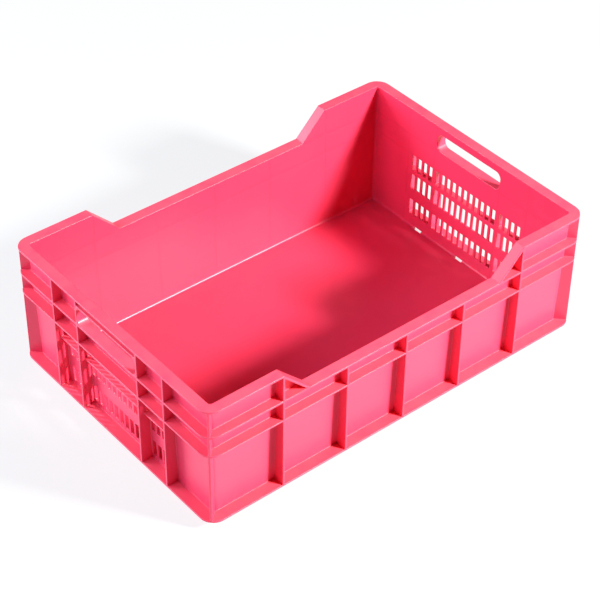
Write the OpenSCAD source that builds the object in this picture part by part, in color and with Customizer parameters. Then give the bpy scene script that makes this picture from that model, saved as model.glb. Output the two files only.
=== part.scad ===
// Stacking plastic crate with dropped long sides, slotted ends and two hand-holds.
// Millimetres. The origin is at the centre of the footprint on the standing face,
// +X runs along the length and +Z is up. The crate is symmetric about X = 0 and Y = 0,
// so each feature is written once, for the front or the left, and mirrored.

/* [Crate] */
// Overall length
crate_length = 600; // [560:5:700]
// Overall width
crate_width = 400; // [370:5:500]
// Overall height, from the standing face to the top of the high rim
crate_height = 192; // [188:1:240]
// Radius of the outer corners of the rim and flanges
corner_radius = 20; // [8:1:26]

/* [Walls and floor] */
// Thickness of the walls
wall_thickness = 2.5; // [1.5:0.1:4]
// Draft of the walls, in degrees: the crate narrows downwards
wall_draft = 1.25; // [0.5:0.05:2]
// Thickness of the floor
floor_thickness = 2.5; // [1.5:0.1:4]
// Height of the ring and the ribs under the floor
foot_height = 2; // [1:0.5:3]
// Width of the ring under the floor
foot_ring_width = 8; // [5:0.5:12]
// Width of each rib under the floor
floor_rib_width = 2.5; // [1.5:0.5:4]

/* [Rim and flanges] */
// Width of the flat rim, from its outer edge to the inside of the crate
rim_width = 15; // [12:0.5:20]
// Thickness of the rim, the ramps and the low rim
rim_thickness = 3; // [2:0.5:4]
// Thickness of the lower belt and the base flange
flange_thickness = 2.5; // [2:0.5:4]
// Height of the underside of the base flange: the depth of the stacking foot
base_flange_bottom = 15; // [10:0.5:18]
// Height of the top face of the lower belt
lower_belt_top = 123.5; // [121:0.5:128]
// Height of the low rim, which is also the top face of the upper belt
low_rim_top = 153.5; // [140:0.5:156]

/* [Dropped sides] */
// Half length of the low rim, to the foot of each ramp
low_rim_half = 151.5; // [110:0.5:155]
// Half length at which the high rim starts, at the head of each ramp
high_rim_start = 190; // [185:0.5:200]

/* [Ribs] */
// Thickness of the upright ribs and of the corner fins
rib_thickness = 3; // [2:0.5:4]
// Distance from the centre to the inner pair of ribs on each long side
side_rib_inner = 93; // [70:1:105]
// Distance from the centre to the inner pair of ribs on each end
end_rib_inner = 62; // [62:0.5:63]
// Distance from the centre to the outer pair of ribs on each end
end_rib_outer = 114; // [110:0.5:125]

/* [Hand-holds] */
// Height of each hand-hold opening, above the upper belt
hand_hold_height = 27; // [20:0.5:28]
// Radius of the opening's corners
hand_hold_radius = 9; // [4:0.5:10]

/* [Grille] */
// Width of one slot
slot_width = 7; // [4:0.5:8]
// Height of one slot
slot_height = 24; // [16:0.5:24]
// Distance from one slot to the next
slot_pitch = 11; // [9.5:0.25:11]
// Slots in each row of the middle bay, which is centred
middle_slots = 11; // [5:2:11]
// Slots in each row of each outer bay
outer_slots = 4; // [1:1:4]
// Distance from the centre to the first slot of an outer bay
outer_slot_start = 69; // [69:0.5:71]
// Height of the lower edge of the bottom row
lower_row_bottom = 23.5; // [20:0.5:30]
// Height of the lower edge of the middle row
middle_row_bottom = 65.5; // [58:0.5:66]
// Height of the lower edge of the top row
upper_row_bottom = 96.5; // [96:0.5:97]
// Depth of the ledge outside the grille, from the wall
ledge_depth = 8; // [4:0.5:10]
// Height of the ledge's top face
ledge_top = 96; // [92:0.5:96]

/* [Drains] */
// Length of each drain slot
drain_length = 16; // [8:1:24]
// How far each drain reaches into the floor from the end wall
drain_reach = 3; // [2:0.5:5]
// How far each drain reaches up the end wall above the floor
drain_rise = 2; // [1:0.5:4]
// Distance from the centre to the outer drains
drain_offset = 84; // [50:1:120]

/* [Hidden] */

$fn = 96;
half_length = crate_length / 2;
half_width = crate_width / 2;
floor_bottom = foot_height;
floor_top = floor_bottom + floor_thickness;
rim_bottom = crate_height - rim_thickness;
low_rim_bottom = low_rim_top - rim_thickness;
lower_belt_bottom = lower_belt_top - flange_thickness;
base_flange_top = base_flange_bottom + flange_thickness;
// The ramp is a plate of the rim's thickness, measured square to its slope.
ramp_run = high_rim_start - low_rim_half;
ramp_rise = crate_height - low_rim_top;
ramp_angle = atan2(ramp_rise, ramp_run);
ramp_depth = rim_thickness / cos(ramp_angle);
ramp_foot = low_rim_half + rim_thickness / sin(ramp_angle);
hand_hold_top = low_rim_top + hand_hold_height;
tunnel_top = hand_hold_top + flange_thickness;
bay_half = end_rib_inner - rib_thickness / 2;
slot_centres = concat(
    [for (i = [0:middle_slots - 1]) (i - (middle_slots - 1) / 2) * slot_pitch],
    [for (side = [-1, 1], i = [0:outer_slots - 1]) side * (outer_slot_start + i * slot_pitch)]);
slot_row_bottoms = [lower_row_bottom, middle_row_bottom, upper_row_bottom];
// Length and width of the space inside the foot ring
foot_inner_length = crate_length - 2 * (inner_inset(0) - wall_thickness + foot_ring_width);
foot_inner_width = crate_width - 2 * (inner_inset(0) - wall_thickness + foot_ring_width);
// Margin by which cutting shapes run past the faces they cut
past = 1;
// Depth of the mitred sectors that divide a flange into four bars
sector_depth = 40;

wall_pink = [0.98, 0.36, 0.50];
rim_pink = [0.97, 0.40, 0.48];
rib_pink = [0.93, 0.30, 0.46];
floor_red = [0.80, 0.20, 0.33];

// Distance from the outer edge of the rim to the inner face of a wall, at height z
function inner_inset(z) = rim_width + (crate_height - z) * tan(wall_draft);

// Slab between the two end faces, drafted; grow moves each face outwards
module between_ends(grow, z0, z1) {
    low = half_length - inner_inset(z0) + grow;
    high = half_length - inner_inset(z1) + grow;
    rotate([90, 0, 0])
        linear_extrude(crate_width + 2 * past, center = true)
            polygon([[-low, z0], [low, z0], [high, z1], [-high, z1]]);
}

// Slab between the two long faces, drafted; grow moves each face outwards
module between_sides(grow, z0, z1) {
    low = half_width - inner_inset(z0) + grow;
    high = half_width - inner_inset(z1) + grow;
    rotate([90, 0, 90])
        linear_extrude(crate_length + 2 * past, center = true)
            polygon([[-low, z0], [low, z0], [high, z1], [-high, z1]]);
}

// The tub's drafted block: its hollow with grow = 0, its outside with grow = wall_thickness
module tub_block(grow, z0, z1) {
    intersection() {
        between_ends(grow, z0, z1);
        between_sides(grow, z0, z1);
    }
}

module tub_outside() {
    tub_block(wall_thickness, -past, crate_height + past);
}

module tub_hollow() {
    tub_block(0, -past, crate_height + past);
}

// Outline of the rim and flanges
module footprint() {
    union() {
        square([crate_length - 2 * corner_radius, crate_width], center = true);
        square([crate_length, crate_width - 2 * corner_radius], center = true);
        for (x = [-1, 1], y = [-1, 1])
            translate([x * (half_length - corner_radius), y * (half_width - corner_radius)])
                circle(r = corner_radius);
    }
}

// Part of the footprint along the front edge, mitred at the corners
module front_sector() {
    intersection() {
        footprint();
        polygon([[-half_length, -half_width], [half_length, -half_width],
            [half_length - sector_depth, sector_depth - half_width],
            [sector_depth - half_length, sector_depth - half_width]]);
    }
}

// Part of the footprint along the left edge, mitred at the corners
module left_sector() {
    intersection() {
        footprint();
        polygon([[-half_length, -half_width], [sector_depth - half_length, sector_depth - half_width],
            [sector_depth - half_length, half_width - sector_depth], [-half_length, half_width]]);
    }
}

// Flange outside the front wall, between two heights
module front_flange(z0, z1) {
    difference() {
        translate([0, 0, z0]) linear_extrude(z1 - z0) front_sector();
        tub_outside();
    }
}

// Flange outside the left end, between two heights
module left_flange(z0, z1) {
    difference() {
        translate([0, 0, z0]) linear_extrude(z1 - z0) left_sector();
        tub_outside();
    }
}

// Half space in front of the crate's middle, between two heights
module front_half(z0, z1) {
    translate([-half_length - past, -half_width - past, z0])
        cube([crate_length + 2 * past, half_width + past, z1 - z0]);
}

// Half space to the left of the crate's middle, between two heights
module left_half(z0, z1) {
    translate([-half_length - past, -half_width - past, z0])
        cube([half_length + past, crate_width + 2 * past, z1 - z0]);
}

// Leaves out the two belts, so that uprights stop at their faces
module clear_of_belts() {
    difference() {
        children();
        left_half(lower_belt_bottom, lower_belt_top);
        mirror([1, 0, 0]) left_half(lower_belt_bottom, lower_belt_top);
        left_half(low_rim_bottom, low_rim_top);
        mirror([1, 0, 0]) left_half(low_rim_bottom, low_rim_top);
    }
}

// Drain slots at the foot of the left end wall
module drain_cuts() {
    inner = half_length - inner_inset(floor_top);
    for (y = [-drain_offset, 0, drain_offset])
        translate([-half_length, y - drain_length / 2, -past])
            cube([half_length - inner + drain_reach, drain_length, floor_top + drain_rise + past]);
}

module both_ends() {
    children();
    mirror([1, 0, 0]) children();
}

module floor_panel() {
    color(floor_red)
        difference() {
            tub_block(wall_thickness, floor_bottom, floor_top);
            both_ends() drain_cuts();
        }
}

module foot_ring() {
    color(floor_red)
        difference() {
            tub_block(wall_thickness, 0, floor_bottom);
            cube([foot_inner_length, foot_inner_width, 2 * floor_bottom + past], center = true);
            both_ends() drain_cuts();
        }
}

module floor_ribs() {
    color(floor_red)
        for (i = [-2:2])
            translate([i * foot_inner_length / 6 - floor_rib_width / 2, -foot_inner_width / 2, 0])
                cube([floor_rib_width, foot_inner_width, floor_bottom]);
}

// Front wall up to the underside of the low rim
module long_wall() {
    color(wall_pink)
        intersection() {
            difference() {
                between_sides(wall_thickness, floor_top, low_rim_bottom);
                between_sides(0, floor_top - past, low_rim_bottom + past);
            }
            between_ends(0, floor_top, low_rim_bottom);
            front_half(floor_top, low_rim_bottom);
        }
}

// High end of the front wall at the left, under the rim and the ramp
module shoulder() {
    color(wall_pink)
        intersection() {
            difference() {
                between_sides(wall_thickness, low_rim_bottom, rim_bottom);
                between_sides(0, low_rim_bottom - past, rim_bottom + past);
            }
            between_ends(0, low_rim_bottom, rim_bottom);
            rotate([90, 0, 0])
                linear_extrude(half_width)
                    polygon([[-half_length, low_rim_bottom], [-ramp_foot, low_rim_bottom],
                        [-ramp_foot, low_rim_top], [-high_rim_start, crate_height - ramp_depth],
                        [-high_rim_start, rim_bottom], [-half_length, rim_bottom]]);
        }
}

// Left end wall between two heights, with the corners of the tub
module end_wall(z0, z1) {
    intersection() {
        difference() {
            between_ends(wall_thickness, z0, z1);
            between_ends(0, z0 - past, z1 + past);
        }
        between_sides(wall_thickness, z0, z1);
        left_half(z0, z1);
    }
}

module end_panel() {
    color(wall_pink)
        difference() {
            end_wall(floor_top, low_rim_top);
            for (y = slot_centres, z = slot_row_bottoms)
                translate([-half_length, y - slot_width / 2, z])
                    cube([inner_inset(0) + past, slot_width, slot_height]);
            drain_cuts();
        }
}

// Outline of the hand-hold in the YZ plane, with round corners
module hand_hold_outline() {
    across = bay_half - hand_hold_radius;
    union() {
        translate([-across, low_rim_top]) square([2 * across, hand_hold_height]);
        translate([-bay_half, low_rim_top + hand_hold_radius])
            square([2 * bay_half, hand_hold_height - 2 * hand_hold_radius]);
        for (y = [-across, across],
             z = [low_rim_top + hand_hold_radius, hand_hold_top - hand_hold_radius])
            translate([y, z]) circle(r = hand_hold_radius);
    }
}

// Straight hole of the hand-hold through the left end
module hand_hold_hole() {
    translate([-half_length - past, 0, 0])
        rotate([90, 0, 90]) linear_extrude(inner_inset(0) + 2 * past) hand_hold_outline();
}

module handle_frame() {
    color(wall_pink)
        difference() {
            end_wall(low_rim_top, rim_bottom);
            hand_hold_hole();
        }
}

// Sleeve of the hand-hold, between the inner pair of end ribs
module hand_tunnel() {
    color(rim_pink)
        difference() {
            translate([-half_length, -bay_half, low_rim_top])
                cube([inner_inset(0), 2 * bay_half, tunnel_top - low_rim_top]);
            hand_hold_hole();
            tub_outside();
        }
}

module end_rim() {
    color(rim_pink)
        difference() {
            translate([0, 0, rim_bottom]) linear_extrude(rim_thickness) left_sector();
            tub_hollow();
        }
}

// High rim along the front at the left, from the corner to the head of the ramp
module side_rim() {
    color(rim_pink)
        difference() {
            translate([0, 0, rim_bottom]) linear_extrude(rim_thickness) front_sector();
            tub_hollow();
            translate([-high_rim_start, -half_width - past, rim_bottom - past])
                cube([crate_length, crate_width, rim_thickness + 2 * past]);
        }
}

module ramp() {
    color(rim_pink)
        difference() {
            translate([0, -half_width + inner_inset(0), 0])
                rotate([90, 0, 0])
                    linear_extrude(inner_inset(0))
                        polygon([[-high_rim_start, crate_height], [-low_rim_half, low_rim_top],
                            [-ramp_foot, low_rim_top],
                            [-high_rim_start, crate_height - ramp_depth]]);
            tub_hollow();
        }
}

// Upper belt of the front; between the ramps it covers the wall's edge and is the low rim
module side_upper_belt() {
    color(rim_pink)
        union() {
            front_flange(low_rim_bottom, low_rim_top);
            intersection() {
                difference() {
                    tub_outside();
                    tub_hollow();
                }
                front_half(low_rim_bottom, low_rim_top);
                cube([2 * ramp_foot, crate_width, 2 * crate_height], center = true);
            }
        }
}

module end_upper_belt() {
    color(rim_pink) left_flange(low_rim_bottom, low_rim_top);
}

module side_lower_belt() {
    color(rim_pink) front_flange(lower_belt_bottom, lower_belt_top);
}

module end_lower_belt() {
    color(rim_pink) left_flange(lower_belt_bottom, lower_belt_top);
}

module side_base_flange() {
    color(rim_pink) front_flange(base_flange_bottom, base_flange_top);
}

module end_base_flange() {
    color(rim_pink) left_flange(base_flange_bottom, base_flange_top);
}

// One upright rib outside the front wall, centred on x, up to a height
module side_rib(x, top) {
    translate([x - rib_thickness / 2, -half_width, base_flange_top])
        cube([rib_thickness, inner_inset(0), top - base_flange_top]);
}

module side_ribs() {
    color(rib_pink)
        clear_of_belts()
            difference() {
                union() {
                    for (x = [-side_rib_inner, 0, side_rib_inner]) side_rib(x, low_rim_bottom);
                    for (x = [-high_rim_start, high_rim_start]) side_rib(x, rim_bottom);
                }
                tub_outside();
                both_ends() ramp();
            }
}

module end_ribs() {
    color(rib_pink)
        clear_of_belts()
            difference() {
                for (y = [-end_rib_outer, -end_rib_inner, end_rib_inner, end_rib_outer])
                    translate([-half_length, y - rib_thickness / 2, base_flange_top])
                        cube([inner_inset(0), rib_thickness, rim_bottom - base_flange_top]);
                tub_outside();
            }
}

// Diagonal fin at the front left corner
module corner_fin() {
    color(rib_pink)
        clear_of_belts()
            difference() {
                intersection() {
                    translate([0, 0, base_flange_top])
                        linear_extrude(rim_bottom - base_flange_top) footprint();
                    translate([-half_length, -half_width, 0])
                        rotate([0, 0, 45])
                            translate([0, -rib_thickness / 2, base_flange_top])
                                cube([2 * inner_inset(0), rib_thickness, rim_bottom - base_flange_top]);
                }
                tub_outside();
            }
}

// Narrow shelves outside the left grille, one in each bay
module grille_ledges() {
    outer_bay = end_rib_outer - end_rib_inner - rib_thickness;
    color(rim_pink)
        difference() {
            for (bay = [[-bay_half, 2 * bay_half],
                        [end_rib_inner + rib_thickness / 2, outer_bay],
                        [-end_rib_outer + rib_thickness / 2, outer_bay]])
                translate([inner_inset(ledge_top) - wall_thickness - ledge_depth - half_length,
                           bay[0], ledge_top - flange_thickness])
                    cube([ledge_depth + wall_thickness, bay[1], flange_thickness]);
            tub_outside();
        }
}

floor_panel();
foot_ring();
floor_ribs();
long_wall();  // front_wall
mirror([0, 1, 0]) long_wall();  // rear_wall
shoulder();  // front_left_shoulder
mirror([1, 0, 0]) shoulder();  // front_right_shoulder
mirror([0, 1, 0]) shoulder();  // rear_left_shoulder
mirror([1, 0, 0]) mirror([0, 1, 0]) shoulder();  // rear_right_shoulder
end_panel();  // left_end_panel
mirror([1, 0, 0]) end_panel();  // right_end_panel
handle_frame();  // left_handle_frame
mirror([1, 0, 0]) handle_frame();  // right_handle_frame
hand_tunnel();  // left_hand_tunnel
mirror([1, 0, 0]) hand_tunnel();  // right_hand_tunnel
end_rim();  // left_end_rim
mirror([1, 0, 0]) end_rim();  // right_end_rim
side_rim();  // front_left_rim
mirror([1, 0, 0]) side_rim();  // front_right_rim
mirror([0, 1, 0]) side_rim();  // rear_left_rim
mirror([1, 0, 0]) mirror([0, 1, 0]) side_rim();  // rear_right_rim
ramp();  // front_left_ramp
mirror([1, 0, 0]) ramp();  // front_right_ramp
mirror([0, 1, 0]) ramp();  // rear_left_ramp
mirror([1, 0, 0]) mirror([0, 1, 0]) ramp();  // rear_right_ramp
side_upper_belt();  // front_upper_belt
mirror([0, 1, 0]) side_upper_belt();  // rear_upper_belt
end_upper_belt();  // left_upper_belt
mirror([1, 0, 0]) end_upper_belt();  // right_upper_belt
side_lower_belt();  // front_lower_belt
mirror([0, 1, 0]) side_lower_belt();  // rear_lower_belt
end_lower_belt();  // left_lower_belt
mirror([1, 0, 0]) end_lower_belt();  // right_lower_belt
side_base_flange();  // front_base_flange
mirror([0, 1, 0]) side_base_flange();  // rear_base_flange
end_base_flange();  // left_base_flange
mirror([1, 0, 0]) end_base_flange();  // right_base_flange
side_ribs();  // front_ribs
mirror([0, 1, 0]) side_ribs();  // rear_ribs
end_ribs();  // left_end_ribs
mirror([1, 0, 0]) end_ribs();  // right_end_ribs
corner_fin();  // front_left_fin
mirror([1, 0, 0]) corner_fin();  // front_right_fin
mirror([0, 1, 0]) corner_fin();  // rear_left_fin
mirror([1, 0, 0]) mirror([0, 1, 0]) corner_fin();  // rear_right_fin
grille_ledges();  // left_grille_ledges
mirror([1, 0, 0]) grille_ledges();  // right_grille_ledges
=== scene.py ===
"""Looks of the stacking plastic crate: one moulded tub with rounded edges, cut into named pieces."""
import math

import bmesh
import bpy
from mathutils import Matrix, Vector


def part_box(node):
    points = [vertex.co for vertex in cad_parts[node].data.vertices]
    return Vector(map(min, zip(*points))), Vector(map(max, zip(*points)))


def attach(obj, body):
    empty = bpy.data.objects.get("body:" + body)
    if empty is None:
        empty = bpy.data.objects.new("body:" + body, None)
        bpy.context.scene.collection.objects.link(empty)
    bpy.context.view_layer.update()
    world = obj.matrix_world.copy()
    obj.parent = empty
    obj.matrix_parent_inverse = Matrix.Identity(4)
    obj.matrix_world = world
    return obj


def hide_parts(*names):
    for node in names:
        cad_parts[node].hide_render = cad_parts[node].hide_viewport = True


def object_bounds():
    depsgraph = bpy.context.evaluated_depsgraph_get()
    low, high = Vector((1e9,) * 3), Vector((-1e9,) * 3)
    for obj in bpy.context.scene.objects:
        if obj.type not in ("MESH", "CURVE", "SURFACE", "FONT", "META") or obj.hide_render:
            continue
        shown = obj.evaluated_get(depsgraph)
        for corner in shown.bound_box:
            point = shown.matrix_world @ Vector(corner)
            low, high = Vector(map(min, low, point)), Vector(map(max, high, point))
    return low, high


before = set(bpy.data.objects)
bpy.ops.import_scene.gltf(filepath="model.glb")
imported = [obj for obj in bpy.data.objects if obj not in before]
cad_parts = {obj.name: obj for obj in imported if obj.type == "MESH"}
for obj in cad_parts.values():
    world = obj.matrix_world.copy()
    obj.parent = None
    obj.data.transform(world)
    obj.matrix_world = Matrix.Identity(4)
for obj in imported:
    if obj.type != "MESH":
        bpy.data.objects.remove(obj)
cad_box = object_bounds()

# Sizes in metres. Heights and lengths come from the frame's nodes.
HALF_LENGTH, HALF_WIDTH, HEIGHT = cad_box[1]
FLOOR_BOTTOM, FLOOR_TOP = (corner.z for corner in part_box("floor_panel"))
FLANGE_BOTTOM, FLANGE_TOP = (corner.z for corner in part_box("front_base_flange"))
BELT_BOTTOM, BELT_TOP = (corner.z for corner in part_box("front_lower_belt"))
LOW_RIM_BOTTOM, LOW_RIM_TOP = (corner.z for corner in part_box("front_upper_belt"))
RIM_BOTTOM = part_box("left_end_rim")[0].z
TUNNEL_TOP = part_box("left_hand_tunnel")[1].z
LEDGE_BOTTOM, LEDGE_TOP = (corner.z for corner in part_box("left_grille_ledges"))
HIGH_RIM_START = -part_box("front_left_ramp")[0].x
LOW_RIM_HALF = -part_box("front_left_ramp")[1].x
HAND_HOLD_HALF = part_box("left_hand_tunnel")[1].y
RIM_THICKNESS = HEIGHT - RIM_BOTTOM

# Sizes that the frame doesn't give.
CORNER_RADIUS = 0.020
RIM_WIDTH = 0.015
WALL = 0.0025
DRAFT = math.tan(math.radians(1.25))
RIB = 0.003
SIDE_RIBS = (-HIGH_RIM_START, -0.093, 0.0, 0.093, HIGH_RIM_START)
END_RIBS = (-0.114, -0.062, 0.062, 0.114)
PLATE = 0.0025
LEDGE_DEPTH = 0.008
INNER_RADIUS = 0.004
HAND_HOLD_RADIUS = 0.009
SLOT_HALF = Vector((0.0035, 0.012))
SLOT_RADIUS = 0.0012
SLOT_MOUTH = 0.0004
SLOT_PITCH = 0.011
SLOT_ROWS = (0.0235, 0.0655, 0.0965)
MIDDLE_SLOTS = 11
OUTER_SLOTS = 4
OUTER_SLOT_START = 0.069
FOOT_RING = 0.008
FOOT_RIB = 0.0025
FOOT_HALF_CELLS = 3
DRAIN_HALF, DRAIN_REACH, DRAIN_RISE = 0.008, 0.003, 0.002
DRAIN_OFFSET = 0.084
EDGE_RADIUS = 0.0007
BAY_DEPTH = 0.020
HAND_HOLD_DEPTH = 0.030
PAST = 0.001  # How far a cutting shape reaches past the surface it cuts.

# Angles between two faces.
FLAT_ANGLE = math.radians(1)
SHARP_ANGLE = math.radians(28)
SMOOTH_ANGLE = math.radians(40)
FOLD_ANGLE = math.radians(150)

# Planes that divide the moulding into pieces. All of them pass through straight, flat stretches.
CORNER_CUT = 0.024
BASE_CUT = 0.012
WALL_CUT = BELT_BOTTOM - 0.0015
BELT_CUT = LOW_RIM_BOTTOM - 0.002
RIM_CUT = RIM_BOTTOM - 0.0015
SHOULDER_CUT = LOW_RIM_HALF - 0.006
FAR = 2 * HALF_LENGTH

# Colours and sizes in the plastic.
DEEP_PINK = (0.790, 0.043, 0.106, 1)
PALE_PINK = (0.840, 0.048, 0.114, 1)
SPECK_PINK = (0.860, 0.060, 0.128, 1)
# Painted shade: a darker pink for the shadows of the ribs and belts seen through the wall.
SHOW_THROUGH_SHADE_PINK = (0.730, 0.033, 0.088, 1)
# Painted light: a lighter pink on the upward faces, standing in for light from above.
TOP_LIGHT_PINK = (0.900, 0.080, 0.128, 1)
SCUFF_PINK = (0.900, 0.140, 0.210, 1)
SINK_AND_SHADE_REACH = 0.0028
SINK_DEPTH = 0.0002
WAVE_DEPTH = 0.0012
GRAIN_DEPTH = 0.0001
ALONG_X, ALONG_Y, UPRIGHT = (0.15, 6, 6), (6, 0.15, 6), (1, 1, 5)

# The studio.
LIGHT_DISTANCE = 3.0
FLOOR_HALF, FLOOR_DEPTH, FLOOR_GAP = 12, 0.01, 0.0002
FLOOR_GREY = 0.15
FLOOR_GLOW = 0.78
SKY_GLOW = 0.02
WHITE = (1, 1, 1, 1)
SENSOR_WIDTH, LENS = 36, 111.62
CAMERA_PLACE = (-1.1756, -1.4173, 1.6062)
CAMERA_TARGET = (-0.0030, 0, 0.0773)
CAMERA_ROLL = math.radians(0.69)

# Angles of the points round a corner. The middle facet is wide enough for the fin that ends on it.
FOOTPRINT_ANGLES = (0, 9, 18, 27, 36, 54, 63, 72, 81, 90)
TUB_ANGLES = (0, 18, 36, 54, 72, 90)
ROUND_ANGLES = (0, 10, 20, 30, 40, 50, 60, 70, 80, 90)
SLOT_ANGLES = (0, 30, 60, 90)


def inner_inset(z):
    """Distance from the rim's outer edge to the inside face of a wall at height z."""
    return RIM_WIDTH + (HEIGHT - z) * DRAFT


def outline(half_a, half_b, radius, angles):
    """Rectangle with rounded corners, as points in order."""
    points = []
    for turn, (a, b) in enumerate(((1, 1), (-1, 1), (-1, -1), (1, -1))):
        for angle in angles:
            theta = math.radians(90 * turn + angle)
            points.append((a * (half_a - radius) + radius * math.cos(theta),
                           b * (half_b - radius) + radius * math.sin(theta)))
    return points


def loft(mesh, rings):
    """Adds a closed solid through rings of points, with a cap at each end."""
    rows = [[mesh.verts.new(point) for point in ring] for ring in rings]
    for lower, upper in zip(rows, rows[1:]):
        for i in range(len(lower)):
            j = (i + 1) % len(lower)
            mesh.faces.new((lower[i], lower[j], upper[j], upper[i]))
    mesh.faces.new(rows[0][::-1])
    mesh.faces.new(rows[-1])


def prism(mesh, points, axis, start, end):
    """Adds an outline extruded along an axis; its points are in the plane of the other two axes."""
    place = {"x": lambda a, b, c: (c, a, b),
             "y": lambda a, b, c: (a, c, b),
             "z": lambda a, b, c: (a, b, c)}
    loft(mesh, [[place[axis](a, b, c) for a, b in points] for c in (start, end)])


def box(mesh, low, high):
    """Adds a plain box between two corners."""
    (a, b, c), (d, e, f) = low, high
    prism(mesh, [(a, b), (d, b), (d, e), (a, e)], "z", c, f)


def finished(mesh, name):
    """Makes an object from a bmesh, with merged points and outward faces."""
    bmesh.ops.remove_doubles(mesh, verts=mesh.verts, dist=1e-7)
    bmesh.ops.recalc_face_normals(mesh, faces=mesh.faces)
    data = bpy.data.meshes.new(name)
    mesh.to_mesh(data)
    mesh.free()
    made = bpy.data.objects.new(name, data)
    bpy.context.scene.collection.objects.link(made)
    return made


def combine(target, tool, operation="DIFFERENCE"):
    """Replaces target's mesh by its boolean with tool, and removes tool."""
    step = target.modifiers.new("step", "BOOLEAN")
    step.solver = "MANIFOLD"
    step.operation = operation
    step.object = tool
    graph = bpy.context.evaluated_depsgraph_get()
    data = bpy.data.meshes.new_from_object(target.evaluated_get(graph))
    target.modifiers.clear()
    target.data = data
    bpy.data.objects.remove(tool)
    return target


def mirrored(points, flip_a=False, flip_b=False):
    """Returns the same outline on the other side."""
    return [(-a if flip_a else a, -b if flip_b else b) for a, b in points]


def tub_block(mesh, grow, radius, bottom, top, angles):
    """Adds the drafted block of the tub, grown outwards, between two heights."""
    rings = []
    for z in (bottom, top):
        inset = inner_inset(z) - grow
        flat = outline(HALF_LENGTH - inset, HALF_WIDTH - inset, radius, angles)
        rings.append([(a, b, z) for a, b in flat])
    loft(mesh, rings)


def tub_outside():
    """Makes the tub's outer block, without its rims and ribs."""
    mesh = bmesh.new()
    tub_block(mesh, WALL, INNER_RADIUS + WALL, -PAST, HEIGHT + PAST, TUB_ANGLES)
    return finished(mesh, "tub_outside")


def tub_hollow():
    """Makes the space inside the tub, with a rounded foot where the walls meet the floor."""
    mesh = bmesh.new()
    rings = []
    centre = FLOOR_TOP + INNER_RADIUS
    inset = inner_inset(centre)
    for angle in ROUND_ANGLES:
        theta = math.radians(angle)
        reach = INNER_RADIUS * (1 - math.sin(theta))
        flat = outline(HALF_LENGTH - inset - reach, HALF_WIDTH - inset - reach,
                       INNER_RADIUS - reach, ROUND_ANGLES)
        z = centre - INNER_RADIUS * math.cos(theta)
        rings.append([(a, b, z) for a, b in flat])
    top = HEIGHT + PAST
    inset = inner_inset(top)
    flat = outline(HALF_LENGTH - inset, HALF_WIDTH - inset, INNER_RADIUS, ROUND_ANGLES)
    rings.append([(a, b, top) for a, b in flat])
    loft(mesh, rings)
    return finished(mesh, "tub_hollow")


def side_bays(mesh):
    """Adds the open spaces outside the front and rear walls."""
    skew = RIB / 2 * math.sqrt(2)
    fin_foot = -HALF_LENGTH + BAY_DEPTH + skew
    fin_head = -HALF_LENGTH - PAST + skew
    outer, inner = -HALF_WIDTH - PAST, -HALF_WIDTH + BAY_DEPTH
    rib_side = -HIGH_RIM_START - RIB / 2
    corner_bay = [(rib_side, outer), (rib_side, inner), (fin_foot, inner), (fin_head, outer)]
    plans = [corner_bay, mirrored(corner_bay, flip_a=True)]
    for left, right in zip(SIDE_RIBS, SIDE_RIBS[1:]):
        a, b = left + RIB / 2, right - RIB / 2
        plans.append([(a, outer), (b, outer), (b, inner), (a, inner)])
    storeys = ((FLANGE_TOP, BELT_BOTTOM), (BELT_TOP, LOW_RIM_BOTTOM))
    angle = math.atan2(HEIGHT - LOW_RIM_TOP, HIGH_RIM_START - LOW_RIM_HALF)
    slope = math.tan(angle)
    start = -HIGH_RIM_START + RIB / 2
    foot = -LOW_RIM_HALF - RIM_THICKNESS / math.sin(angle)
    under_ramp = [(start, LOW_RIM_TOP), (foot, LOW_RIM_TOP), (start, LOW_RIM_TOP + (foot - start) * slope)]
    for flip in (False, True):
        for plan in plans:
            for bottom, top in storeys:
                prism(mesh, mirrored(plan, flip_b=flip), "z", bottom, top)
        for plan in plans[:2]:
            prism(mesh, mirrored(plan, flip_b=flip), "z", LOW_RIM_TOP, RIM_BOTTOM)
        for side in (False, True):
            ends = (-inner, -outer) if flip else (outer, inner)
            prism(mesh, mirrored(under_ramp, flip_a=side), "y", *ends)


def end_bays(mesh):
    """Adds the open spaces outside the two end walls."""
    skew = RIB / 2 * math.sqrt(2)
    outer, inner = -HALF_LENGTH - PAST, -HALF_LENGTH + BAY_DEPTH
    rib_side = END_RIBS[0] - RIB / 2
    corner_bay = [(outer, rib_side), (inner, rib_side), (inner, -HALF_WIDTH + BAY_DEPTH + skew),
                  (outer, -HALF_WIDTH - PAST + skew)]
    ledge_edge = -HALF_LENGTH + inner_inset(LEDGE_TOP) - WALL - LEDGE_DEPTH
    with_ledge = [(outer, FLANGE_TOP), (inner, FLANGE_TOP), (inner, LEDGE_BOTTOM), (ledge_edge, LEDGE_BOTTOM),
                  (ledge_edge, LEDGE_TOP), (inner, LEDGE_TOP), (inner, BELT_BOTTOM), (outer, BELT_BOTTOM)]
    for flip in (False, True):
        for side in (False, True):
            plan = mirrored(corner_bay, flip_a=flip, flip_b=side)
            for bottom, top in ((FLANGE_TOP, BELT_BOTTOM), (BELT_TOP, LOW_RIM_BOTTOM),
                                (LOW_RIM_TOP, RIM_BOTTOM)):
                prism(mesh, plan, "z", bottom, top)
        for lower, upper in zip(END_RIBS, END_RIBS[1:]):
            a, b = lower + RIB / 2, upper - RIB / 2
            prism(mesh, mirrored(with_ledge, flip_a=flip), "y", a, b)
            plan = mirrored([(outer, a), (outer, b), (inner, b), (inner, a)], flip_a=flip)
            prism(mesh, plan, "z", BELT_TOP, LOW_RIM_BOTTOM)
            middle = lower < 0 < upper
            prism(mesh, plan, "z", TUNNEL_TOP if middle else LOW_RIM_TOP, RIM_BOTTOM)


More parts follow.
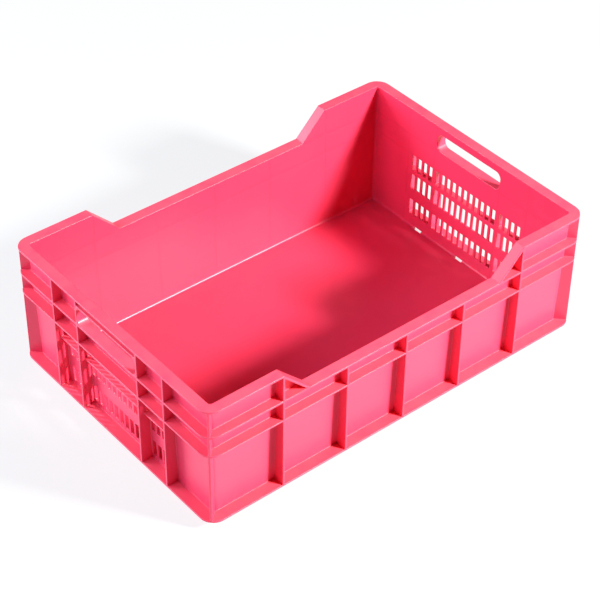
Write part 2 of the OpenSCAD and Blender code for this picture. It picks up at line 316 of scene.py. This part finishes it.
def bays():
    """Makes every open space outside the walls, down to the walls' drafted faces."""
    mesh = bmesh.new()
    side_bays(mesh)
    end_bays(mesh)
    below = outline(HALF_LENGTH + PAST, HALF_WIDTH + PAST, CORNER_RADIUS, FOOTPRINT_ANGLES)
    prism(mesh, below, "z", -2 * PAST, FLANGE_BOTTOM)
    return combine(finished(mesh, "bays"), tub_outside())


def drop():
    """Makes the space over the low rims and the ramps, through both long sides."""
    mesh = bmesh.new()
    head = HEIGHT + PAST
    points = [(-HIGH_RIM_START, head), (-HIGH_RIM_START, HEIGHT), (-LOW_RIM_HALF, LOW_RIM_TOP),
              (LOW_RIM_HALF, LOW_RIM_TOP), (HIGH_RIM_START, HEIGHT), (HIGH_RIM_START, head)]
    prism(mesh, points, "y", -HALF_WIDTH - PAST, HALF_WIDTH + PAST)
    return finished(mesh, "drop")


def hand_holds():
    """Makes the openings of the hand-holds, through both end walls."""
    mesh = bmesh.new()
    half_height = (TUNNEL_TOP - PLATE - LOW_RIM_TOP) / 2
    middle = LOW_RIM_TOP + half_height
    flat = outline(HAND_HOLD_HALF, half_height, HAND_HOLD_RADIUS, ROUND_ANGLES)
    points = [(a, b + middle) for a, b in flat]
    for ends in ((-HALF_LENGTH - PAST, -HALF_LENGTH + HAND_HOLD_DEPTH),
                 (HALF_LENGTH - HAND_HOLD_DEPTH, HALF_LENGTH + PAST)):
        prism(mesh, points, "x", *ends)
    return finished(mesh, "hand_holds")


def foot_recesses():
    """Makes the shallow spaces under the floor, inside the foot ring and between the foot ribs."""
    mesh = bmesh.new()
    margin = inner_inset(0) - WALL + FOOT_RING
    half_length, half_width = HALF_LENGTH - margin, HALF_WIDTH - margin
    pitch = half_length / FOOT_HALF_CELLS
    for i in range(-FOOT_HALF_CELLS, FOOT_HALF_CELLS):
        a = i * pitch + (FOOT_RIB / 2 if i > -FOOT_HALF_CELLS else 0)
        b = (i + 1) * pitch - (FOOT_RIB / 2 if i < FOOT_HALF_CELLS - 1 else 0)
        box(mesh, (a, -half_width, -PAST), (b, half_width, FLOOR_BOTTOM))
    return finished(mesh, "foot_recesses")


def slots():
    """Makes the grille's slots in both end walls, with rounded mouths that follow the wall's draft."""
    mesh = bmesh.new()
    columns = [(i - MIDDLE_SLOTS // 2) * SLOT_PITCH for i in range(MIDDLE_SLOTS)]
    columns += [side * (OUTER_SLOT_START + i * SLOT_PITCH) for side in (-1, 1) for i in range(OUTER_SLOTS)]
    mouth, part = SLOT_MOUTH, 0.3 * SLOT_MOUTH
    clear = 0.1 * SLOT_MOUTH  # No ring lies on the wall's own surface.
    depths = ((-PAST, mouth), (-clear, mouth), (part, part), (mouth, 0.0),
              (WALL - mouth, 0.0), (WALL - part, part), (WALL + clear, mouth), (WALL + PAST, mouth))
    for end in (-1, 1):
        for y in columns:
            for bottom in SLOT_ROWS:
                centre = bottom + SLOT_HALF.y
                rings = []
                for depth, grow in depths:
                    flat = outline(SLOT_HALF.x + grow, SLOT_HALF.y + grow, SLOT_RADIUS + grow, SLOT_ANGLES)
                    rings.append([(end * (HALF_LENGTH - inner_inset(centre + b) + WALL - depth),
                                   y + a, centre + b) for a, b in flat])
                loft(mesh, rings)
    return finished(mesh, "slots")


def drains():
    """Makes the drain slots at the foot of both end walls."""
    mesh = bmesh.new()
    inside = HALF_LENGTH - inner_inset(FLOOR_TOP) - DRAIN_REACH
    for end in (-1, 1):
        for y in (-DRAIN_OFFSET, 0, DRAIN_OFFSET):
            a, b = sorted((end * inside, end * (HALF_LENGTH + PAST)))
            box(mesh, (a, y - DRAIN_HALF, -PAST), (b, y + DRAIN_HALF, FLOOR_TOP + DRAIN_RISE))
    return finished(mesh, "drains")


def collapse_folds(mesh):
    """Removes the slivers that the bevel folds back at both ends of the ramps."""
    for turn in range(2):
        folds = [edge for edge in mesh.edges if edge.calc_face_angle() > FOLD_ANGLE]
        slivers = dict.fromkeys(min(edge.link_faces, key=lambda face: face.calc_area()) for edge in folds)
        shortest = dict.fromkeys(min(face.edges, key=lambda edge: edge.calc_length()) for face in slivers)
        bmesh.ops.collapse(mesh, edges=list(shortest))


def round_edges(target):
    """Rounds every sharp edge, outward and inward, as a mould does."""
    mesh = bmesh.new()
    mesh.from_mesh(target.data)
    bmesh.ops.remove_doubles(mesh, verts=mesh.verts, dist=1e-6)
    bmesh.ops.dissolve_limit(mesh, angle_limit=FLAT_ANGLE, verts=mesh.verts, edges=mesh.edges)
    sharp = [edge for edge in mesh.edges if edge.calc_face_angle() > SHARP_ANGLE]
    bmesh.ops.bevel(mesh, geom=sharp, offset=EDGE_RADIUS, segments=3, profile=0.5, affect="EDGES",
                    clamp_overlap=False)
    collapse_folds(mesh)
    mesh.to_mesh(target.data)
    mesh.free()
    return target


def moulding():
    """Makes the whole crate as one solid."""
    mesh = bmesh.new()
    prism(mesh, outline(HALF_LENGTH, HALF_WIDTH, CORNER_RADIUS, FOOTPRINT_ANGLES), "z", 0, HEIGHT)
    crate = finished(mesh, "crate")
    for tool in (bays(), drop(), tub_hollow(), hand_holds(), foot_recesses()):
        combine(crate, tool)
    round_edges(crate)
    for tool in (slots(), drains()):
        combine(crate, tool)
    return crate


def piece_plan():
    """Lists the name, two corners and the CAD nodes of every piece."""
    x, y = HALF_LENGTH - CORNER_CUT, HALF_WIDTH - CORNER_CUT
    top = HEIGHT + PAST
    plan = [("tub_base", (-FAR, -FAR, -PAST), (FAR, FAR, BASE_CUT),
             ("floor_panel", "foot_ring", "floor_ribs"))]
    for side, sign in (("front", -1), ("rear", 1)):
        def along(a, b, low, high, name, *nodes):
            near, far = sorted((sign * y, sign * FAR))
            plan.append((side + "_" + name, (a, near, low), (b, far, high), [side + "_" + n for n in nodes]))
        along(-x, x, BASE_CUT, WALL_CUT, "wall", "wall", "base_flange", "ribs")
        along(-x, x, WALL_CUT, BELT_CUT, "lower_belt", "lower_belt")
        along(-SHOULDER_CUT, SHOULDER_CUT, BELT_CUT, top, "low_rim", "upper_belt")
        for end, a, b in (("left", -x, -SHOULDER_CUT), ("right", SHOULDER_CUT, x)):
            along(a, b, BELT_CUT, top, end + "_shoulder", end + "_shoulder", end + "_ramp", end + "_rim")
        for end, a, b in (("left", -FAR, -x), ("right", x, FAR)):
            along(a, b, BASE_CUT, top, end + "_corner", end + "_fin")
    for end, sign in (("left", -1), ("right", 1)):
        def across(low, high, name, *nodes):
            near, far = sorted((sign * x, sign * FAR))
            plan.append((end + "_" + name, (near, -y, low), (far, y, high), [end + "_" + n for n in nodes]))
        across(BASE_CUT, WALL_CUT, "grille", "end_panel", "grille_ledges", "base_flange", "end_ribs")
        across(WALL_CUT, BELT_CUT, "lower_belt", "lower_belt")
        across(BELT_CUT, RIM_CUT, "handle_frame", "handle_frame", "hand_tunnel", "upper_belt")
        across(RIM_CUT, top, "end_rim", "end_rim")
    return plan


def shade(piece):
    """Smooth shading across rounded edges, flat across the cuts between pieces."""
    bpy.context.view_layer.objects.active = piece
    piece.select_set(True)
    bpy.ops.object.shade_smooth_by_angle(angle=SMOOTH_ANGLE)
    piece.select_set(False)
    weighted = piece.modifiers.new("weighted", "WEIGHTED_NORMAL")
    weighted.keep_sharp = True
    weighted.weight = 90


def make_pieces(crate, material):
    """Cuts the moulding into pieces, and tells the frame which CAD nodes each one replaces."""
    for name, low, high, nodes in piece_plan():
        mesh = bmesh.new()
        box(mesh, low, high)
        share = finished(mesh, "share")
        piece = bpy.data.objects.new(name + "_piece", crate.data.copy())
        bpy.context.scene.collection.objects.link(piece)
        combine(piece, share, "INTERSECT")
        piece.data.materials.clear()
        piece.data.materials.append(material)
        shade(piece)
        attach(piece, "root")
        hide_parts(*nodes)
    bpy.data.objects.remove(crate)


def add_node(tree, kind, settings=None, output=0, **sockets):
    """Adds a shader node, sets or links its inputs, and returns one output."""
    made = tree.nodes.new(kind)
    for name, value in (settings or {}).items():
        setattr(made, name, value)
    for name, value in sockets.items():
        socket = made.inputs[int(name[1:]) if name[1:].isdigit() else name.replace("_", " ")]
        if isinstance(value, bpy.types.NodeSocket):
            tree.links.new(value, socket)
        else:
            socket.default_value = value
    return made.outputs[output]


def calculate(tree, operation, a, b=0.0, c=0.0):
    """Adds a math node on up to three values."""
    return add_node(tree, "ShaderNodeMath", {"operation": operation}, i0=a, i1=b, i2=c)


def noise(tree, where, scale, detail=2.0, roughness=0.5, stretch=(1, 1, 1)):
    """Adds noise between 0 and 1; stretch squeezes it along the axes."""
    place = add_node(tree, "ShaderNodeMapping", Vector=where, Scale=stretch)
    return add_node(tree, "ShaderNodeTexNoise", Vector=place, Scale=scale, Detail=detail, Roughness=roughness)


def spread(tree, value, low, high, to_low=0.0, to_high=1.0):
    """Maps a range smoothly to another one, and stops at its ends."""
    return add_node(tree, "ShaderNodeMapRange", {"interpolation_type": "SMOOTHSTEP"},
                    i0=value, i1=low, i2=high, i3=to_low, i4=to_high)


def blend_colours(tree, factor, a, b):
    """Mixes colour b into colour a."""
    return add_node(tree, "ShaderNodeMix", {"data_type": "RGBA"}, output=2, i0=factor, i6=a, i7=b)


def lines_at(tree, coordinate, places, reach):
    """Gives one on each place along a coordinate, falling to zero within reach."""
    nearest = None
    for place in places:
        gap = calculate(tree, "ABSOLUTE", calculate(tree, "SUBTRACT", coordinate, place))
        nearest = gap if nearest is None else calculate(tree, "MINIMUM", nearest, gap)
    return spread(tree, nearest, 0.0, reach, 1.0, 0.0)


def place_and_facing(tree, where):
    """Splits the position and the surface's direction into their axes."""
    split = []
    for vector in (where, tree.nodes.new("ShaderNodeNewGeometry").outputs["Normal"]):
        axes = tree.nodes.new("ShaderNodeSeparateXYZ")
        tree.links.new(vector, axes.inputs[0])
        split.append(axes.outputs)
    return split


def sink_marks_and_shade_lines(tree, place, facing):
    """Gives one on faint stripes inside the walls, opposite the ribs and belts on the outside: sink marks in the
    bump, and painted shade of the ribs and belts, as if seen through the wall, in the colour.
    """
    x, y, z = place
    belts = lines_at(tree, z, ((BELT_BOTTOM + BELT_TOP) / 2, (LOW_RIM_BOTTOM + LOW_RIM_TOP) / 2), SINK_AND_SHADE_REACH)
    sink_and_shade_lines = None
    for along, across, normal, ribs in ((x, y, facing[1], SIDE_RIBS[2:]), (y, x, facing[0], END_RIBS[2:])):
        inward = calculate(tree, "MULTIPLY", normal, calculate(tree, "SIGN", across))
        inside = calculate(tree, "LESS_THAN", inward, -0.9)
        uprights = lines_at(tree, calculate(tree, "ABSOLUTE", along), ribs, SINK_AND_SHADE_REACH)
        found = calculate(tree, "MULTIPLY", calculate(tree, "MAXIMUM", uprights, belts), inside)
        sink_and_shade_lines = found if sink_and_shade_lines is None else calculate(tree, "MAXIMUM", sink_and_shade_lines, found)
    return sink_and_shade_lines


def lit_and_worn_tops(tree, place, facing):
    """Gives one on the upward faces of the rim, belts and flanges: the plastic paints light from above on them
    as a lighter pink, and roughens them where they meet other crates.
    """
    upward = spread(tree, facing[2], 0.5, 0.9)
    return calculate(tree, "MULTIPLY", upward, calculate(tree, "GREATER_THAN", place[2], BASE_CUT))


def plastic():
    """Moulded polypropylene in pink red: semi-gloss, faintly mottled, with a fine grain, painted light on the
    upward faces and painted shade in stripes opposite the ribs and belts.
    """
    material = bpy.data.materials.new("moulded_polypropylene")
    material.use_nodes = True
    tree = material.node_tree
    shader = tree.nodes["Principled BSDF"]
    where = tree.nodes.new("ShaderNodeTexCoord").outputs["Object"]
    place, facing = place_and_facing(tree, where)
    cloud = noise(tree, where, scale=7.0)
    flow = noise(tree, where, scale=14.0, detail=3.0, roughness=0.55, stretch=UPRIGHT)
    speck = noise(tree, where, scale=700.0, roughness=0.6)
    grain = noise(tree, where, scale=900.0, detail=3.0, roughness=0.6)
    wave = noise(tree, where, scale=16.0, detail=1.0, roughness=0.4)
    scratches = [spread(tree, noise(tree, where, scale=60.0, detail=3.0, roughness=0.6, stretch=way), 0.70, 0.76)
                 for way in (ALONG_X, ALONG_Y)]
    scuff = calculate(tree, "MAXIMUM", *scratches)
    # Patchy mask on the upward faces: painted light from above in the colour, wear from other crates in the
    # roughness.
    light_and_wear_patches = spread(tree, noise(tree, where, scale=40.0, detail=4.0, roughness=0.65), 0.3, 0.6, 0.55, 1.0)
    top_light_and_wear = calculate(tree, "MULTIPLY", lit_and_worn_tops(tree, place, facing), light_and_wear_patches)
    # Mask for sink marks in the bump and for painted shade in the colour.
    sink_and_shade_lines = sink_marks_and_shade_lines(tree, place, facing)

    mottled = blend_colours(tree, spread(tree, cloud, 0.3, 0.7), DEEP_PINK, PALE_PINK)
    streaked = blend_colours(tree, spread(tree, flow, 0.35, 0.75, 0.0, 0.35), mottled, DEEP_PINK)
    specked = blend_colours(tree, spread(tree, speck, 0.55, 0.75, 0.0, 0.25), streaked, SPECK_PINK)
    # Painted shade: darker stripes opposite the ribs and belts, standing in for their shadows through the wall.
    with_painted_rib_shade = blend_colours(tree, calculate(tree, "MULTIPLY", sink_and_shade_lines, 0.3), specked, SHOW_THROUGH_SHADE_PINK)
    # Painted light: the upward faces are lightened as if lit from above.
    with_painted_top_light = blend_colours(tree, top_light_and_wear, with_painted_rib_shade, TOP_LIGHT_PINK)
    colour = blend_colours(tree, calculate(tree, "MULTIPLY", scuff, 0.15), with_painted_top_light, SCUFF_PINK)
    tree.links.new(colour, shader.inputs["Base Color"])

    gloss = calculate(tree, "MULTIPLY_ADD", cloud, 0.07, 0.30)
    rough = calculate(tree, "MULTIPLY_ADD", calculate(tree, "MAXIMUM", scuff, top_light_and_wear), 0.18, gloss)
    tree.links.new(rough, shader.inputs["Roughness"])

    waves = add_node(tree, "ShaderNodeBump", Height=wave, Strength=0.5, Distance=WAVE_DEPTH)
    sunk = add_node(tree, "ShaderNodeBump", {"invert": True}, Height=sink_and_shade_lines, Strength=0.5, Distance=SINK_DEPTH,
                    Normal=waves)
    grained = add_node(tree, "ShaderNodeBump", Height=grain, Strength=0.25, Distance=GRAIN_DEPTH, Normal=sunk)
    tree.links.new(grained, shader.inputs["Normal"])
    shader.inputs["IOR"].default_value = 1.5
    return material


def look_at(thing, target, roll=0.0):
    """Turns a camera or light towards a point."""
    forward = (Vector(target) - thing.location).normalized()
    turn = forward.to_track_quat("-Z", "Y")
    thing.rotation_mode = "QUATERNION"
    thing.rotation_quaternion = turn @ Matrix.Rotation(roll, 3, "Z").to_quaternion()


def add_camera():
    """Adds the camera that was fitted to the photo."""
    data = bpy.data.cameras.new("camera")
    data.sensor_width = SENSOR_WIDTH
    data.lens = LENS
    camera = bpy.data.objects.new("camera", data)
    bpy.context.scene.collection.objects.link(camera)
    camera.location = CAMERA_PLACE
    look_at(camera, CAMERA_TARGET, CAMERA_ROLL)
    bpy.context.scene.camera = camera


def soft_light(name, azimuth, elevation, size, power, colour):
    """Adds a square light. Azimuth 0 is in front, and grows towards the right."""
    data = bpy.data.lights.new(name, "AREA")
    data.size = size
    data.energy = power
    data.color = colour
    light = bpy.data.objects.new(name, data)
    bpy.context.scene.collection.objects.link(light)
    turn, rise = math.radians(azimuth), math.radians(elevation)
    way = Vector((math.sin(turn) * math.cos(rise), -math.cos(turn) * math.cos(rise), math.sin(rise)))
    middle = Vector((0, 0, HEIGHT / 2))
    light.location = middle + LIGHT_DISTANCE * way
    look_at(light, middle)


def add_studio():
    """Adds a pale floor, a key light from the front right, and fills from the left and the rear left."""
    mesh = bmesh.new()
    box(mesh, (-FLOOR_HALF, -FLOOR_HALF, -FLOOR_DEPTH), (FLOOR_HALF, FLOOR_HALF, -FLOOR_GAP))
    floor = finished(mesh, "studio_floor")
    paint = bpy.data.materials.new("studio_paint")
    paint.use_nodes = True
    finish = paint.node_tree.nodes["Principled BSDF"]
    finish.inputs["Base Color"].default_value = (FLOOR_GREY, FLOOR_GREY, FLOOR_GREY, 1)
    finish.inputs["Roughness"].default_value = 0.6
    finish.inputs["Emission Color"].default_value = WHITE
    finish.inputs["Emission Strength"].default_value = FLOOR_GLOW
    floor.data.materials.append(paint)
    world = bpy.data.worlds.new("studio")
    bpy.context.scene.world = world
    world.use_nodes = True
    sky = world.node_tree.nodes["Background"]
    sky.inputs["Color"].default_value = WHITE
    sky.inputs["Strength"].default_value = SKY_GLOW
    soft_light("key", 28, 31, 0.42, 228, (0.98, 1.0, 0.96))
    soft_light("rear_fill", -138, 21, 1.5, 108, (0.84, 0.94, 1.08))
    soft_light("left_fill", -99, 33, 1.2, 36, (0.82, 0.92, 1.30))


add_camera()
make_pieces(moulding(), plastic())
add_studio()
bpy.context.scene.view_settings.view_transform = "Standard"
